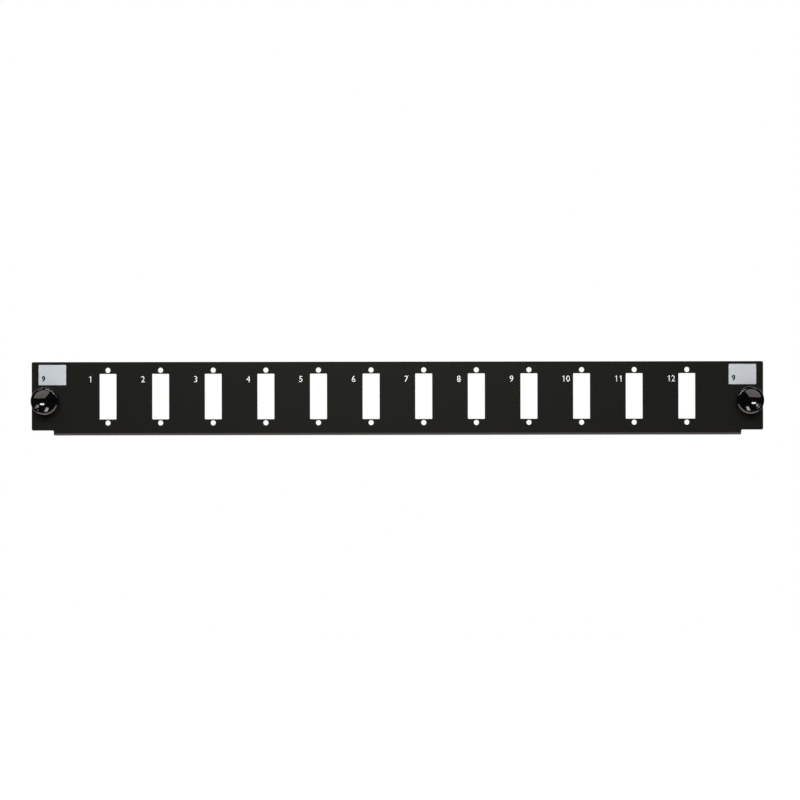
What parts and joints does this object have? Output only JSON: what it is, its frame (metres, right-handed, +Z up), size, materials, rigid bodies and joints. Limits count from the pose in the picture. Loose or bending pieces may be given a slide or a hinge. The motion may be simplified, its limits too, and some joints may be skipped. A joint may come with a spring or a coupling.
{
  "type": "fibre adapter plate",
  "caption": "Black folded sheet-metal front plate for a rack fibre tray: a row of upright adapter ports with screw holes, and a push-pull latch at each end.",
  "frame": {"origin": "middle of the plate's back face, on the centre line of the ports", "axes": "+X along the plate to the right, +Y backwards into the tray, +Z up; the front faces -Y"},
  "size_m": [0.4266, 0.0206, 0.0429],
  "materials": {
    "powder_coat": "satin black powder coat",
    "label_foil": "satin silver film",
    "grommet_plastic": "black nylon",
    "plunger_plastic": "gloss black"
  },
  "bodies": {
    "plate": {"front_plate": "powder_coat", "label_left": "label_foil", "label_right": "label_foil", "grommet_left": "grommet_plastic", "grommet_right": "grommet_plastic"},
    "plunger_left": {"plunger_left": "plunger_plastic"},
    "plunger_right": {"plunger_right": "plunger_plastic"}
  },
  "joints": [
    {"name": "plunger_left_slide", "type": "slide", "parent": "plate", "child": "plunger_left", "axis": [0, -1, 0], "range_m": [0, 0.005]},
    {"name": "plunger_right_slide", "type": "slide", "parent": "plate", "child": "plunger_right", "axis": [0, -1, 0], "range_m": [0, 0.005]}
  ]
}
